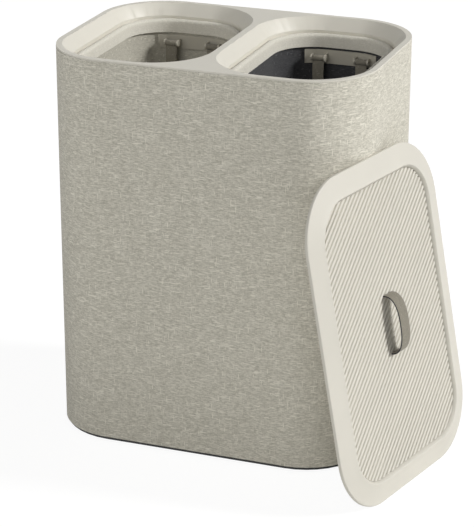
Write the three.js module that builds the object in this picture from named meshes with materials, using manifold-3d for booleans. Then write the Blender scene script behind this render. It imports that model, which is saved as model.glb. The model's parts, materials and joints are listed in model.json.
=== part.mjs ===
// Laundry hamper with two bins, a lift-out fabric bag in each bin and a loose ribbed lid.
// Millimetres, +Z up, front face towards -Y. The origin is on the floor, under the centre foot.
// The lid stands on the floor and leans against the hamper's right side.
import * as THREE from "three";
import { mergeVertices } from "three/addons/utils/BufferGeometryUtils.js";
import Module from "manifold-3d";

const wasm = await Module();
wasm.setup();
const { Manifold, Mesh } = wasm;

// Overall size
const WIDTH = 500;
const DEPTH = 366;
const HEIGHT = 614;
const CORNER_RADIUS = 104;
const SIDE_TAPER = 2;

// Fits
const SKIN_GAP = 0.3;
const SLIDE_GAP = 0.5;
const OVERRUN = 20;
const CORNER_STEPS = 6;
const FINE_STEPS = 9;
const ROUND_STEPS = 16;
const BAR_STEPS = 10;

// Walls: a stiff inner tube with the fabric stretched over it
const FABRIC_THICKNESS = 1;
const PANEL_THICKNESS = 3;
const FABRIC_FOOT = 7;

// Top tray: rim, two funnels and the ledges that carry the bags
const RIM_WIDTH = 9;
const BRIDGE_WIDTH = 11;
const FLANGE_THICKNESS = 2.5;
const RIM_ROUND = 0.8;
const FUNNEL_DROP = 17.6;
const FUNNEL_INSET = 17;
const FUNNEL_WALL = 2;
const SKIRT_WALL = 2;
const SKIRT_DEPTH = 26;
const COLLAR_DEPTH = 26;
const LEDGE_INSET = 22;
const LEDGE_THICKNESS = 3;

// Base tray
const BASE_INSET = 3;
const BASE_CLEARANCE = 1.5;
const BASE_FLOOR = 2.5;
const BASE_UPSTAND = 12;
const BASE_WALL = 2.5;
const BASE_RIB_HEIGHT = 8;
const BASE_RIB_WALL = 2;
const BASE_RIB_SPACING = 75;

// Feet
const FOOT_RADIUS = 11;
const FOOT_HEIGHT = 4.5;
const FOOT_POCKET_WALL = 2.5;
const FOOT_CORNER_INSET = 58;

// Bags
const BAG_CLOTH = 1.2;
const BAG_INSET = 18.5;
const HEM_TOP_DROP = 22;
const HEM_DEPTH = 20;
const HOOP_WALL = 3;
const HOOP_HEIGHT = 19;
const BAG_BOTTOM = 20;
const BAG_TAPER = 8;
const BAG_STRAIGHT = 60;
const BAG_BOTTOM_ROUND = 6;
const BOARD_THICKNESS = 3;
const BOARD_CLEARANCE = 2;

// Bag handles: a webbing loop on two pins in a bracket below the hem
const BRACKET_HALF = 58;
const BRACKET_HEIGHT = 22;
const BRACKET_WALL = 2;
const BRACKET_DROP = 24;
const PIN_CLEARANCE = 7.5;
const PIN_RADIUS = 2.4;
const LUG_WALL = 2.5;
const LUG_RADIUS = 5;
const STRAP_WIDTH = 18;
const STRAP_THICKNESS = 2.4;
const STRAP_SPAN = 88;
const STRAP_LENGTH = 74;
const EYE_WALL = 2;
const EYE_GAP = 0.4;

// Lid: a frame that slopes down to a thin edge, round a sunken ribbed panel
const LID_LENGTH = 497;
const LID_WIDTH = 366;
const LID_EDGE = 5;
const LID_SLOPE_DROP = 7.5;
const LID_RADIUS = 96;
const LID_RIM = 33;
const LID_EDGE_ROUND = 2;
const LID_EDGE_SHARE = 0.3;
const LID_WALL = 2.5;
const LID_RECESS = 4.5;
const LID_RECESS_RUN = 4;
const LID_PANEL_THICKNESS = 3.6;
const LID_LEDGE = 5;
const LID_LEDGE_THICKNESS = 1.2;
const LID_BACK_THICKNESS = 2;
const LOCATOR_HEIGHT = 2.5;
const LOCATOR_WALL = 2;
const LOCATOR_INSET = 15;
const LOCATOR_NOTCH = 70;
const LID_YAW = -13.2;
const LID_LEAN = 11;
const LID_ALONG = -136.4;
const LEAN_GAP = 0.5;

// Ribs of the lid's panel
const RIB_PITCH = 8.4;
const RIB_HEIGHT = 1.8;
const RIB_ANGLE = 38;
const RIB_CREST_SHARE = 0.3;
const RIB_FLANK_SHARE = 0.2;

// Handle strap of the lid
const GRIP_WIDTH = 24;
const GRIP_THICKNESS = 2;
const GRIP_SPAN = 91;
const GRIP_RISE = 23.5;
const GRIP_FULLNESS = 2.5;
const GRIP_STEPS = 18;
const ANCHOR_WALL = 1.2;
const ANCHOR_MARGIN = 5;

const materials = {
  cream: new THREE.MeshStandardMaterial({ color: 0xe3dfd4, roughness: 0.6 }),
  black: new THREE.MeshStandardMaterial({ color: 0x1c1c1d, roughness: 0.6 }),
  rubber: new THREE.MeshStandardMaterial({ color: 0x111111, roughness: 0.9 }),
  linen: new THREE.MeshStandardMaterial({ color: 0xc2beb2, roughness: 0.9 }),
  board: new THREE.MeshStandardMaterial({ color: 0x8d8a83, roughness: 0.9 }),
  stone: new THREE.MeshStandardMaterial({ color: 0xb9b5a9, roughness: 0.9 }),
  charcoal: new THREE.MeshStandardMaterial({ color: 0x4a4a4a, roughness: 0.9 }),
  taupe: new THREE.MeshStandardMaterial({ color: 0x948f84, roughness: 0.9 }),
};

const group = new THREE.Group();
group.name = "laundry_hamper";

function addNode(name, geometry, material) {
  const plain = geometry.clone();
  plain.deleteAttribute("uv");
  plain.deleteAttribute("normal");
  const merged = mergeVertices(plain, 1e-4);
  merged.computeVertexNormals();
  const mesh = new THREE.Mesh(merged, material);
  mesh.name = name;
  group.add(mesh);
  return mesh;
}

function toManifold(geometry) {
  const plain = geometry.clone();
  plain.deleteAttribute("uv");
  plain.deleteAttribute("normal");
  const merged = mergeVertices(plain, 1e-4);
  return new Manifold(new Mesh({
    numProp: 3,
    vertProperties: new Float32Array(merged.attributes.position.array),
    triVerts: new Uint32Array(merged.index.array),
  }));
}

function toGeometry(manifold) {
  const mesh = manifold.getMesh();
  const geometry = new THREE.BufferGeometry();
  geometry.setAttribute("position", new THREE.BufferAttribute(mesh.vertProperties, 3));
  geometry.setIndex(new THREE.BufferAttribute(mesh.triVerts, 1));
  return geometry;
}

function unite(geometries) {
  return toGeometry(geometries.map(toManifold).reduce((sum, next) => sum.add(next)));
}

function cut(geometry, tools) {
  return toGeometry(tools.map(toManifold).reduce((rest, next) => rest.subtract(next), toManifold(geometry)));
}

function common(first, second) {
  return toGeometry(toManifold(first).intersect(toManifold(second)));
}

// A rounded rectangle on the XY plane, drawn in by an inset, as corner arcs joined by straights
function outline(form, inset, height) {
  const radius = form.radius - inset;
  const points = [];
  const steps = form.steps ?? CORNER_STEPS;
  for (let corner = 0; corner < 4; corner += 1) {
    const signX = corner === 0 || corner === 3 ? 1 : -1;
    const signY = corner < 2 ? 1 : -1;
    for (let step = 0; step <= steps; step += 1) {
      const angle = (corner + step / steps) * Math.PI / 2;
      points.push(new THREE.Vector3(
        form.x + signX * (form.width / 2 - form.radius) + radius * Math.cos(angle),
        form.y + signY * (form.depth / 2 - form.radius) + radius * Math.sin(angle),
        height,
      ));
    }
  }
  return points;
}

function stitch(rings, closed) {
  const count = rings[0].length;
  const positions = rings.flat().flatMap((point) => [point.x, point.y, point.z]);
  const indices = [];
  const bands = closed ? rings.length : rings.length - 1;
  for (let band = 0; band < bands; band += 1) {
    const low = band * count;
    const high = ((band + 1) % rings.length) * count;
    for (let at = 0; at < count; at += 1) {
      const next = (at + 1) % count;
      indices.push(low + at, low + next, high + next, low + at, high + next, high + at);
    }
  }
  if (!closed) {
    const flat = rings[0].map((point) => new THREE.Vector2(point.x, point.y));
    const last = (rings.length - 1) * count;
    for (const [a, b, c] of THREE.ShapeUtils.triangulateShape(flat, [])) {
      indices.push(c, b, a);
      indices.push(last + a, last + b, last + c);
    }
  }
  const geometry = new THREE.BufferGeometry();
  geometry.setAttribute("position", new THREE.Float32BufferAttribute(positions, 3));
  geometry.setIndex(indices);
  return facingOut(geometry);
}

// Turns the faces round where a stitched solid came out inside-out
function facingOut(geometry) {
  const position = geometry.attributes.position;
  const index = geometry.index.array;
  const [a, b, c] = [new THREE.Vector3(), new THREE.Vector3(), new THREE.Vector3()];
  let volume = 0;
  for (let at = 0; at < index.length; at += 3) {
    a.fromBufferAttribute(position, index[at]);
    b.fromBufferAttribute(position, index[at + 1]);
    c.fromBufferAttribute(position, index[at + 2]);
    volume += a.dot(b.cross(c));
  }
  if (volume < 0) {
    for (let at = 0; at < index.length; at += 3) {
      [index[at], index[at + 1]] = [index[at + 1], index[at]];
    }
  }
  return geometry;
}

// A frame that follows the rounded rectangle, from a closed section of [inset, height] points
function frame(form, section) {
  return stitch(section.map(([inset, height]) => outline(form, inset, height)), true);
}

// A plate or a cup, from an open section that is capped at both of its ends
function cup(form, section) {
  return stitch(section.map(([inset, height]) => outline(form, inset, height)), false);
}

function block(width, depth, height, x, y, z) {
  return new THREE.BoxGeometry(width, depth, height).translate(x, y, z);
}

// A round bar along X
function bar(radius, length, x, y, z) {
  return new THREE.CylinderGeometry(radius, radius, length, BAR_STEPS).rotateZ(Math.PI / 2).translate(x, y, z);
}

const hamperForm = { x: 0, y: 0, width: WIDTH, depth: DEPTH, radius: CORNER_RADIUS, steps: FINE_STEPS };
const openingWidth = WIDTH / 2 - RIM_WIDTH - BRIDGE_WIDTH / 2;
const openingDepth = DEPTH - 2 * RIM_WIDTH;
const openingCentre = BRIDGE_WIDTH / 2 + openingWidth / 2;
const openingRadius = CORNER_RADIUS - RIM_WIDTH;
const sides = [["left", -1], ["right", 1]];

function openingForm(side, steps = CORNER_STEPS) {
  const x = side * openingCentre;
  return { x, y: 0, width: openingWidth, depth: openingDepth, radius: openingRadius, steps };
}

function taperAt(height) {
  return SIDE_TAPER * (1 - height / HEIGHT);
}

const wallInset = FABRIC_THICKNESS + SKIN_GAP;
const innerInset = wallInset + PANEL_THICKNESS;
const flangeUnder = HEIGHT - FLANGE_THICKNESS;
const wallTop = flangeUnder - SKIN_GAP;
const ledgeTop = HEIGHT - FUNNEL_DROP - COLLAR_DEPTH;
const pocketRadius = FOOT_RADIUS + SKIN_GAP;

function wallSection(outer, inner, low, high) {
  return [
    [outer + taperAt(low), low],
    [outer + taperAt(high), high],
    [inner + taperAt(high), high],
    [inner + taperAt(low), low],
  ];
}

function footPlaces() {
  const x = WIDTH / 2 - FOOT_CORNER_INSET;
  const y = DEPTH / 2 - FOOT_CORNER_INSET;
  return [
    ["foot_centre", 0, 0],
    ["foot_front_left", -x, -y],
    ["foot_front_right", x, -y],
    ["foot_rear_left", -x, y],
    ["foot_rear_right", x, y],
  ];
}

function makeFeet() {
  for (const [name, x, y] of footPlaces()) {
    const section = [
      [0, 0],
      [FOOT_RADIUS - RIM_ROUND, 0],
      [FOOT_RADIUS, RIM_ROUND],
      [FOOT_RADIUS, FOOT_HEIGHT],
      [0, FOOT_HEIGHT],
    ];
    const profile = section.map(([radius, height]) => new THREE.Vector2(radius, height));
    const foot = new THREE.LatheGeometry(profile, ROUND_STEPS).rotateX(Math.PI / 2).translate(x, y, 0);
    addNode(name, foot, materials.rubber);
  }
}

function makeBaseTray() {
  const lipTop = FABRIC_FOOT - SKIN_GAP;
  const floorTop = BASE_CLEARANCE + BASE_FLOOR;
  const upstandInset = innerInset + SIDE_TAPER + SLIDE_GAP;
  const upstandTop = lipTop + BASE_UPSTAND;
  const tray = cup(hamperForm, [
    [BASE_INSET + SIDE_TAPER + RIM_ROUND, BASE_CLEARANCE],
    [BASE_INSET + SIDE_TAPER, BASE_CLEARANCE + RIM_ROUND],
    [BASE_INSET + SIDE_TAPER, lipTop],
    [upstandInset, lipTop],
    [upstandInset, upstandTop],
    [upstandInset + BASE_WALL, upstandTop],
    [upstandInset + BASE_WALL, floorTop],
  ]);
  const pieces = [tray];
  const ribTop = floorTop + BASE_RIB_HEIGHT;
  const reachX = WIDTH - 2 * (upstandInset + BASE_WALL / 2);
  const reachY = DEPTH - 2 * (upstandInset + BASE_WALL / 2);
  const ribMiddle = (BASE_CLEARANCE + BASE_FLOOR / 2 + ribTop) / 2;
  const ribTall = ribTop - BASE_CLEARANCE - BASE_FLOOR / 2;
  const ribs = [];
  const countX = Math.floor(reachX / 2 / BASE_RIB_SPACING);
  const countY = Math.floor(reachY / 2 / BASE_RIB_SPACING);
  for (let at = -countX; at <= countX; at += 1) {
    ribs.push(block(BASE_RIB_WALL, reachY, ribTall, at * BASE_RIB_SPACING, 0, ribMiddle));
  }
  for (let at = -countY; at <= countY; at += 1) {
    ribs.push(block(reachX, BASE_RIB_WALL, ribTall, 0, at * BASE_RIB_SPACING, ribMiddle));
  }
  const ribField = common(unite(ribs), cup(hamperForm, [
    [upstandInset + BASE_WALL / 2, 0],
    [upstandInset + BASE_WALL / 2, HEIGHT],
  ]));
  pieces.push(ribField);
  const pockets = [];
  for (const [, x, y] of footPlaces()) {
    const bossTop = FOOT_HEIGHT + SKIN_GAP + FOOT_POCKET_WALL;
    const bossLow = BASE_CLEARANCE + BASE_FLOOR / 2;
    const boss = new THREE.CylinderGeometry(
      pocketRadius + FOOT_POCKET_WALL, pocketRadius + FOOT_POCKET_WALL, bossTop - bossLow, ROUND_STEPS,
    );
    pieces.push(boss.rotateX(Math.PI / 2).translate(x, y, (bossTop + bossLow) / 2));
    const pocketTop = FOOT_HEIGHT + SKIN_GAP;
    const pocket = new THREE.CylinderGeometry(pocketRadius, pocketRadius, pocketTop, ROUND_STEPS);
    pockets.push(pocket.rotateX(Math.PI / 2).translate(x, y, pocketTop / 2));
  }
  addNode("base_tray", cut(unite(pieces), pockets), materials.black);
}

function makeWalls() {
  const panel = frame(hamperForm, wallSection(wallInset, innerInset, FABRIC_FOOT, wallTop));
  addNode("wall_panel", panel, materials.board);
  const cover = frame(hamperForm, wallSection(0, FABRIC_THICKNESS, FABRIC_FOOT, wallTop));
  addNode("fabric_cover", cover, materials.linen);
}

// The rim with its skirt, and a funnel ring seated in each of its openings
function makeTopTray() {
  const flange = cup(hamperForm, [
    [0, flangeUnder],
    [0, HEIGHT - RIM_ROUND],
    [RIM_ROUND, HEIGHT],
  ]);
  const skirtOuter = innerInset + SLIDE_GAP + taperAt(flangeUnder - SKIRT_DEPTH);
  const skirt = frame(hamperForm, [
    [skirtOuter, flangeUnder - SKIRT_DEPTH],
    [skirtOuter, HEIGHT - FLANGE_THICKNESS / 2],
    [skirtOuter + SKIRT_WALL, HEIGHT - FLANGE_THICKNESS / 2],
    [skirtOuter + SKIRT_WALL, flangeUnder - SKIRT_DEPTH],
  ]);
  const openings = sides.map(([, side]) => cup(openingForm(side, FINE_STEPS), [
    [-FUNNEL_WALL - SKIN_GAP, flangeUnder - OVERRUN],
    [-FUNNEL_WALL - SKIN_GAP, HEIGHT + OVERRUN],
  ]));
  addNode("top_tray", unite([cut(flange, openings), skirt]), materials.cream);
  const lipHeight = HEIGHT - FUNNEL_DROP;
  for (const [name, side] of sides) {
    const funnel = frame(openingForm(side, FINE_STEPS), [
      [0, HEIGHT],
      [FUNNEL_INSET, lipHeight],
      [FUNNEL_INSET, ledgeTop],
      [LEDGE_INSET, ledgeTop],
      [LEDGE_INSET, ledgeTop - LEDGE_THICKNESS],
      [FUNNEL_INSET - FUNNEL_WALL, ledgeTop - LEDGE_THICKNESS],
      [FUNNEL_INSET - FUNNEL_WALL, lipHeight],
      [-FUNNEL_WALL, flangeUnder],
      [-FUNNEL_WALL, HEIGHT - RIM_ROUND],
      [RIM_ROUND - FUNNEL_WALL, HEIGHT],
    ]);
    addNode(`${name}_funnel`, funnel, materials.cream);
  }
}

const hemTop = HEIGHT - HEM_TOP_DROP;
const hemFoot = ledgeTop + SKIN_GAP;
const channelOuter = BAG_INSET + BAG_CLOTH;
const hoopOuter = channelOuter + SKIN_GAP;
const bodyOuter = hoopOuter + HOOP_WALL + SKIN_GAP;
const bodyInner = bodyOuter + BAG_CLOTH;

// Each bag: front and rear walls with turned-in feet and seams at the sides, a floor between them and a hem that wraps the walls and a hoop
function makeBag(name, side, material) {
  const under = hemTop - BAG_CLOTH;
  const channelTop = under - SKIN_GAP;
  const walls = frame(openingForm(side), [
    [bodyOuter + BAG_TAPER + BAG_BOTTOM_ROUND, BAG_BOTTOM],
    [bodyOuter + BAG_TAPER, BAG_BOTTOM + BAG_BOTTOM_ROUND],
    [bodyOuter, hemTop - BAG_STRAIGHT],
    [bodyOuter, channelTop],
    [bodyInner, channelTop],
    [bodyInner, hemTop - BAG_STRAIGHT],
    [bodyInner + BAG_TAPER, BAG_BOTTOM + BAG_BOTTOM_ROUND + BAG_CLOTH],
    [bodyInner + BAG_TAPER + BAG_BOTTOM_ROUND, BAG_BOTTOM + BAG_CLOTH],
  ]);
  for (const [end, sign] of [["front", -1], ["rear", 1]]) {
    const half = block(WIDTH, DEPTH, HEIGHT, 0, sign * (DEPTH + SKIN_GAP) / 2, HEIGHT / 2);
    addNode(`${name}_bag_${end}`, common(walls, half), material);
  }
  const floorInset = bodyInner + BAG_TAPER + BAG_BOTTOM_ROUND + SKIN_GAP;
  const floor = cup(openingForm(side), [
    [floorInset, BAG_BOTTOM],
    [floorInset, BAG_BOTTOM + BAG_CLOTH],
  ]);
  addNode(`${name}_bag_floor`, floor, material);
  const hemInner = bodyInner + SKIN_GAP;
  const hem = frame(openingForm(side), [
    [BAG_INSET, hemFoot],
    [BAG_INSET, hemTop - BAG_CLOTH],
    [BAG_INSET + BAG_CLOTH, hemTop],
    [hemInner, hemTop],
    [hemInner + BAG_CLOTH, hemTop - BAG_CLOTH],
    [hemInner + BAG_CLOTH, hemTop - HEM_DEPTH],
    [hemInner, hemTop - HEM_DEPTH],
    [hemInner, under],
    [channelOuter, under],
    [channelOuter, hemFoot],
  ]);
  addNode(`${name}_bag_hem`, hem, materials.stone);
  const hoop = frame(openingForm(side), [
    [hoopOuter, channelTop - HOOP_HEIGHT],
    [hoopOuter, channelTop],
    [hoopOuter + HOOP_WALL, channelTop],
    [hoopOuter + HOOP_WALL, channelTop - HOOP_HEIGHT],
  ]);
  addNode(`${name}_bag_hoop`, hoop, materials.cream);
  const boardInset = bodyInner + BAG_TAPER + BAG_BOTTOM_ROUND + BOARD_CLEARANCE;
  const boardLow = BAG_BOTTOM + BAG_CLOTH + SKIN_GAP;
  const board = cup(openingForm(side), [
    [boardInset, boardLow],
    [boardInset, boardLow + BOARD_THICKNESS],
  ]);
  addNode(`${name}_bag_board`, board, materials.board);
}

// How far a wall at an inset has curved in from its straight front, at a distance from the middle
function cornerSag(form, inset, reach) {
  const radius = form.radius - inset;
  const past = Math.max(0, reach - (form.width / 2 - form.radius));
  return radius - Math.sqrt(radius * radius - past * past);
}

// Bracket and webbing loop, drawn for the front wall and turned round for the rear one
function makeHandle(name, side, end, endSign) {
  const form = openingForm(side);
  const centreX = side * openingCentre;
  const wallY = -openingDepth / 2 + bodyInner;
  const plateTop = hemTop - BRACKET_DROP;
  const pinZ = plateTop - BRACKET_HEIGHT / 2;
  const legX = STRAP_SPAN / 2 - STRAP_WIDTH / 2;
  const plateInset = bodyInner + SKIN_GAP;
  const lugReach = legX + STRAP_WIDTH / 2 + SLIDE_GAP + LUG_WALL;
  const pinOffset = cornerSag(form, plateInset + BRACKET_WALL, lugReach) + PIN_CLEARANCE;
  const pinY = wallY + SKIN_GAP + BRACKET_WALL + pinOffset;
  const plate = common(
    frame(form, [
      [plateInset, plateTop - BRACKET_HEIGHT],
      [plateInset, plateTop],
      [plateInset + BRACKET_WALL, plateTop],
      [plateInset + BRACKET_WALL, plateTop - BRACKET_HEIGHT],
    ]),
    block(2 * BRACKET_HALF, DEPTH / 2, HEIGHT, centreX, -DEPTH / 2, HEIGHT / 2),
  );
  const pieces = [plate];
  const lugOuter = cup(form, [
    [plateInset + BRACKET_WALL / 2, 0],
    [plateInset + BRACKET_WALL / 2, HEIGHT],
  ]);
  for (const leg of [-1, 1]) {
    for (const flank of [-1, 1]) {
      const offset = flank * (STRAP_WIDTH / 2 + SLIDE_GAP + LUG_WALL / 2);
      const x = centreX + leg * legX + offset;
      const webDepth = pinY - wallY;
      const web = block(LUG_WALL, webDepth, 2 * LUG_RADIUS, x, wallY + webDepth / 2, pinZ);
      pieces.push(common(web, lugOuter));
      pieces.push(bar(LUG_RADIUS, LUG_WALL, x, pinY, pinZ));
    }
    const pinLength = STRAP_WIDTH + 2 * SLIDE_GAP + 2 * LUG_WALL;
    pieces.push(bar(PIN_RADIUS, pinLength, centreX + leg * legX, pinY, pinZ));
  }
  const bracket = unite(pieces);
  const eyeInner = PIN_RADIUS + EYE_GAP;
  const eyeOuter = eyeInner + EYE_WALL;
  const outer = new THREE.Shape();
  const half = STRAP_SPAN / 2;
  outer.moveTo(-half, 0);
  outer.lineTo(-half, half - STRAP_LENGTH);
  outer.absarc(0, half - STRAP_LENGTH, half, Math.PI, 2 * Math.PI, false);
  outer.lineTo(half, 0);
  outer.lineTo(half - STRAP_WIDTH, 0);
  outer.lineTo(half - STRAP_WIDTH, half - STRAP_LENGTH);
  outer.absarc(0, half - STRAP_LENGTH, half - STRAP_WIDTH, 2 * Math.PI, Math.PI, true);
  outer.lineTo(-half + STRAP_WIDTH, 0);
  const strap = new THREE.ExtrudeGeometry(outer, { depth: STRAP_THICKNESS, bevelEnabled: false, curveSegments: BAR_STEPS });
  strap.rotateX(Math.PI / 2).translate(centreX, pinY + STRAP_THICKNESS / 2, pinZ);
  const loops = [strap];
  const bores = [];
  for (const leg of [-1, 1]) {
    loops.push(bar(eyeOuter, STRAP_WIDTH, centreX + leg * legX, pinY, pinZ));
    bores.push(bar(eyeInner, STRAP_WIDTH + 2 * SLIDE_GAP, centreX + leg * legX, pinY, pinZ));
  }
  const loop = cut(unite(loops), bores);
  for (const [label, geometry, material] of [
    ["bracket", bracket, materials.cream],
    ["handle", loop, materials.taupe],
  ]) {
    if (endSign > 0) {
      geometry.translate(-centreX, 0, 0).rotateZ(Math.PI).translate(centreX, 0, 0);
    }
    addNode(`${name}_${end}_${label}`, geometry, material);
  }
}

// Lid: built flat with its inner rim at height 0 and its long side along Y, then leaned
const lidForm = { x: 0, y: 0, width: LID_WIDTH, depth: LID_LENGTH, radius: LID_RADIUS, steps: FINE_STEPS };
const lidBack = -LID_SLOPE_DROP - LID_EDGE;
const panelInset = LID_RIM + LID_RECESS_RUN + SKIN_GAP;
const panelTop = -LID_RECESS;
const panelLow = panelTop - LID_PANEL_THICKNESS;
const ledgeHigh = panelLow - SKIN_GAP;
const anchorTop = panelLow - SKIN_GAP;

// Height of the frame's sloping face at an inset from the lid's edge
function slopeAt(inset) {
  return -LID_SLOPE_DROP * (1 - inset / LID_RIM);
}

function lidPlacement() {
  const yaw = THREE.MathUtils.degToRad(LID_YAW);
  const lean = THREE.MathUtils.degToRad(LID_LEAN);
  const level = new THREE.Vector3(Math.cos(yaw), Math.sin(yaw), 0);
  const across = new THREE.Vector3(-Math.sin(yaw), Math.cos(yaw), 0);
  const up = new THREE.Vector3(0, 0, 1);
  const out = level.clone().multiplyScalar(Math.cos(lean)).addScaledVector(up, Math.sin(lean));
  const along = up.clone().multiplyScalar(Math.cos(lean)).addScaledVector(level, -Math.sin(lean));
  const depthBack = -lidBack;
  const centreZ = LID_LENGTH / 2 * Math.cos(lean) + depthBack * Math.sin(lean);
  const touchZ = centreZ + LID_LENGTH / 2 * Math.cos(lean) - depthBack * Math.sin(lean);
  const cornerX = WIDTH / 2 - CORNER_RADIUS;
  const cornerY = -(DEPTH / 2 - CORNER_RADIUS);
  const reach = cornerX * level.x + cornerY * level.y + CORNER_RADIUS - taperAt(touchZ) + LEAN_GAP;
  const distance = reach + LID_LENGTH / 2 * Math.sin(lean) + depthBack * Math.cos(lean);
  const centreX = (distance - LID_ALONG * level.y) / level.x;
  const matrix = new THREE.Matrix4().makeBasis(across, along, out);
  matrix.setPosition(centreX, LID_ALONG, centreZ);
  return matrix;
}

function makeRibPanel() {
  const reach = Math.hypot(LID_LENGTH, LID_WIDTH);
  const count = Math.ceil(reach / RIB_PITCH);
  const start = -count * RIB_PITCH / 2;
  const shape = new THREE.Shape();
  shape.moveTo(start, panelLow);
  for (let rib = 0; rib < count; rib += 1) {
    const at = start + rib * RIB_PITCH;
    const crest = RIB_CREST_SHARE * RIB_PITCH;
    const flank = RIB_FLANK_SHARE * RIB_PITCH;
    shape.lineTo(at, panelTop - RIB_HEIGHT);
    shape.lineTo(at + flank, panelTop);
    shape.lineTo(at + flank + crest, panelTop);
    shape.lineTo(at + 2 * flank + crest, panelTop - RIB_HEIGHT);
  }
  shape.lineTo(start + count * RIB_PITCH, panelTop - RIB_HEIGHT);
  shape.lineTo(start + count * RIB_PITCH, panelLow);
  const corrugated = new THREE.ExtrudeGeometry(shape, { depth: reach, bevelEnabled: false });
  corrugated.translate(0, 0, -reach / 2).rotateX(Math.PI / 2);
  corrugated.rotateZ(THREE.MathUtils.degToRad(RIB_ANGLE - 90));
  const blank = cup({ ...lidForm, steps: CORNER_STEPS }, [
    [panelInset, panelLow],
    [panelInset, panelTop],
  ]);
  const slots = [-1, 1].map((end) => block(
    GRIP_WIDTH + 2 * SKIN_GAP, GRIP_THICKNESS + 2 * SKIN_GAP, OVERRUN, 0,
    end * (GRIP_SPAN / 2 - GRIP_THICKNESS / 2), (panelTop + panelLow) / 2,
  ));
  return cut(common(corrugated, blank), slots);
}

// A full arch over the panel, as webbing takes between two slots, from its half span and its rise
function archPoints(half, rise) {
  return Array.from({ length: GRIP_STEPS + 1 }, (_, step) => {
    const angle = Math.PI * (1 - step / GRIP_STEPS);
    const across = Math.sign(Math.cos(angle)) * Math.abs(Math.cos(angle)) ** (2 / GRIP_FULLNESS);
    const up = Math.abs(Math.sin(angle)) ** (2 / GRIP_FULLNESS);
    return new THREE.Vector2(half * across, panelTop + rise * up);
  });
}

function makeGrip() {
  const half = GRIP_SPAN / 2;
  const innerHalf = half - GRIP_THICKNESS;
  const tail = anchorTop - ANCHOR_WALL;
  const outerArc = archPoints(half, GRIP_RISE);
  const innerArc = archPoints(innerHalf, GRIP_RISE - GRIP_THICKNESS).reverse();
  const points = [
    new THREE.Vector2(-half, tail),
    ...outerArc,
    new THREE.Vector2(half, tail),
    new THREE.Vector2(innerHalf, tail),
    ...innerArc,
    new THREE.Vector2(-innerHalf, tail),
  ];
  const band = new THREE.ExtrudeGeometry(new THREE.Shape(points), { depth: GRIP_WIDTH, bevelEnabled: false });
  band.translate(0, 0, -GRIP_WIDTH / 2);
  band.applyMatrix4(new THREE.Matrix4().makeBasis(
    new THREE.Vector3(0, 1, 0), new THREE.Vector3(0, 0, 1), new THREE.Vector3(1, 0, 0),
  ));
  return band;
}

function makeLid() {
  const plateHigh = lidBack + LID_BACK_THICKNESS;
  const placement = lidPlacement();
  const ledgeLow = ledgeHigh - LID_LEDGE_THICKNESS;
  const recessFoot = LID_RIM + LID_RECESS_RUN;
  const shell = frame(lidForm, [
    [0, lidBack],
    [0, -LID_SLOPE_DROP - LID_EDGE_ROUND],
    [LID_EDGE_ROUND * LID_EDGE_SHARE, -LID_SLOPE_DROP - LID_EDGE_ROUND * LID_EDGE_SHARE],
    [LID_EDGE_ROUND, slopeAt(LID_EDGE_ROUND)],
    [LID_RIM - RIM_ROUND, slopeAt(LID_RIM - RIM_ROUND)],
    [LID_RIM, -RIM_ROUND],
    [recessFoot, -LID_RECESS],
    [recessFoot, ledgeHigh],
    [recessFoot + LID_LEDGE, ledgeHigh],
    [recessFoot + LID_LEDGE, ledgeLow],
    [recessFoot - LID_WALL, ledgeLow],
    [recessFoot - LID_WALL, -LID_RECESS],
    [LID_RIM - LID_WALL / 2, slopeAt(LID_RIM - LID_WALL / 2) - LID_WALL],
    [LID_WALL, slopeAt(LID_WALL) - LID_WALL],
    [LID_WALL, lidBack],
  ]);
  const plateInset = LID_WALL + SKIN_GAP;
  const plate = cup(lidForm, [
    [plateInset, lidBack],
    [plateInset, plateHigh],
  ]);
  const locator = frame(lidForm, [
    [LOCATOR_INSET, lidBack - LOCATOR_HEIGHT],
    [LOCATOR_INSET, lidBack + LID_BACK_THICKNESS / 2],
    [LOCATOR_INSET + LOCATOR_WALL, lidBack + LID_BACK_THICKNESS / 2],
    [LOCATOR_INSET + LOCATOR_WALL, lidBack - LOCATOR_HEIGHT],
  ]);
  const notch = block(2 * LID_WIDTH, 2 * LOCATOR_NOTCH, LOCATOR_HEIGHT, 0, 0, lidBack - LOCATOR_HEIGHT / 2);
  const backPlate = unite([plate, cut(locator, [notch])]);
  const nodes = [
    ["lid_frame", shell, materials.cream],
    ["lid_rib_panel", makeRibPanel(), materials.cream],
    ["lid_back_plate", backPlate, materials.cream],
    ["lid_handle_strap", makeGrip(), materials.taupe],
  ];
  for (const [label, end] of [["upper", 1], ["lower", -1]]) {
    const slotY = end * (GRIP_SPAN / 2 - GRIP_THICKNESS / 2);
    const anchor = block(
      GRIP_WIDTH + 2 * ANCHOR_MARGIN, GRIP_THICKNESS + 2 * ANCHOR_MARGIN, ANCHOR_WALL, 0, slotY,
      anchorTop - ANCHOR_WALL / 2,
    );
    const slot = block(
      GRIP_WIDTH + 2 * SKIN_GAP, GRIP_THICKNESS + 2 * SKIN_GAP, OVERRUN, 0, slotY, anchorTop,
    );
    nodes.push([`lid_anchor_${label}`, cut(anchor, [slot]), materials.black]);
  }
  for (const [name, geometry, material] of nodes) {
    addNode(name, geometry.applyMatrix4(placement), material);
  }
}

makeFeet();
makeBaseTray();
makeWalls();
makeTopTray();
for (const [name, side] of sides) {
  makeBag(name, side, side < 0 ? materials.stone : materials.charcoal);
  makeHandle(name, side, "front", -1);
  makeHandle(name, side, "rear", 1);
}
makeLid();

export default group;
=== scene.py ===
"""Laundry hamper with two bins: the detailed pieces, their finishes and the studio round them."""
import json
import math

import bmesh
import bpy
from mathutils import Matrix, Vector, noise


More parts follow.
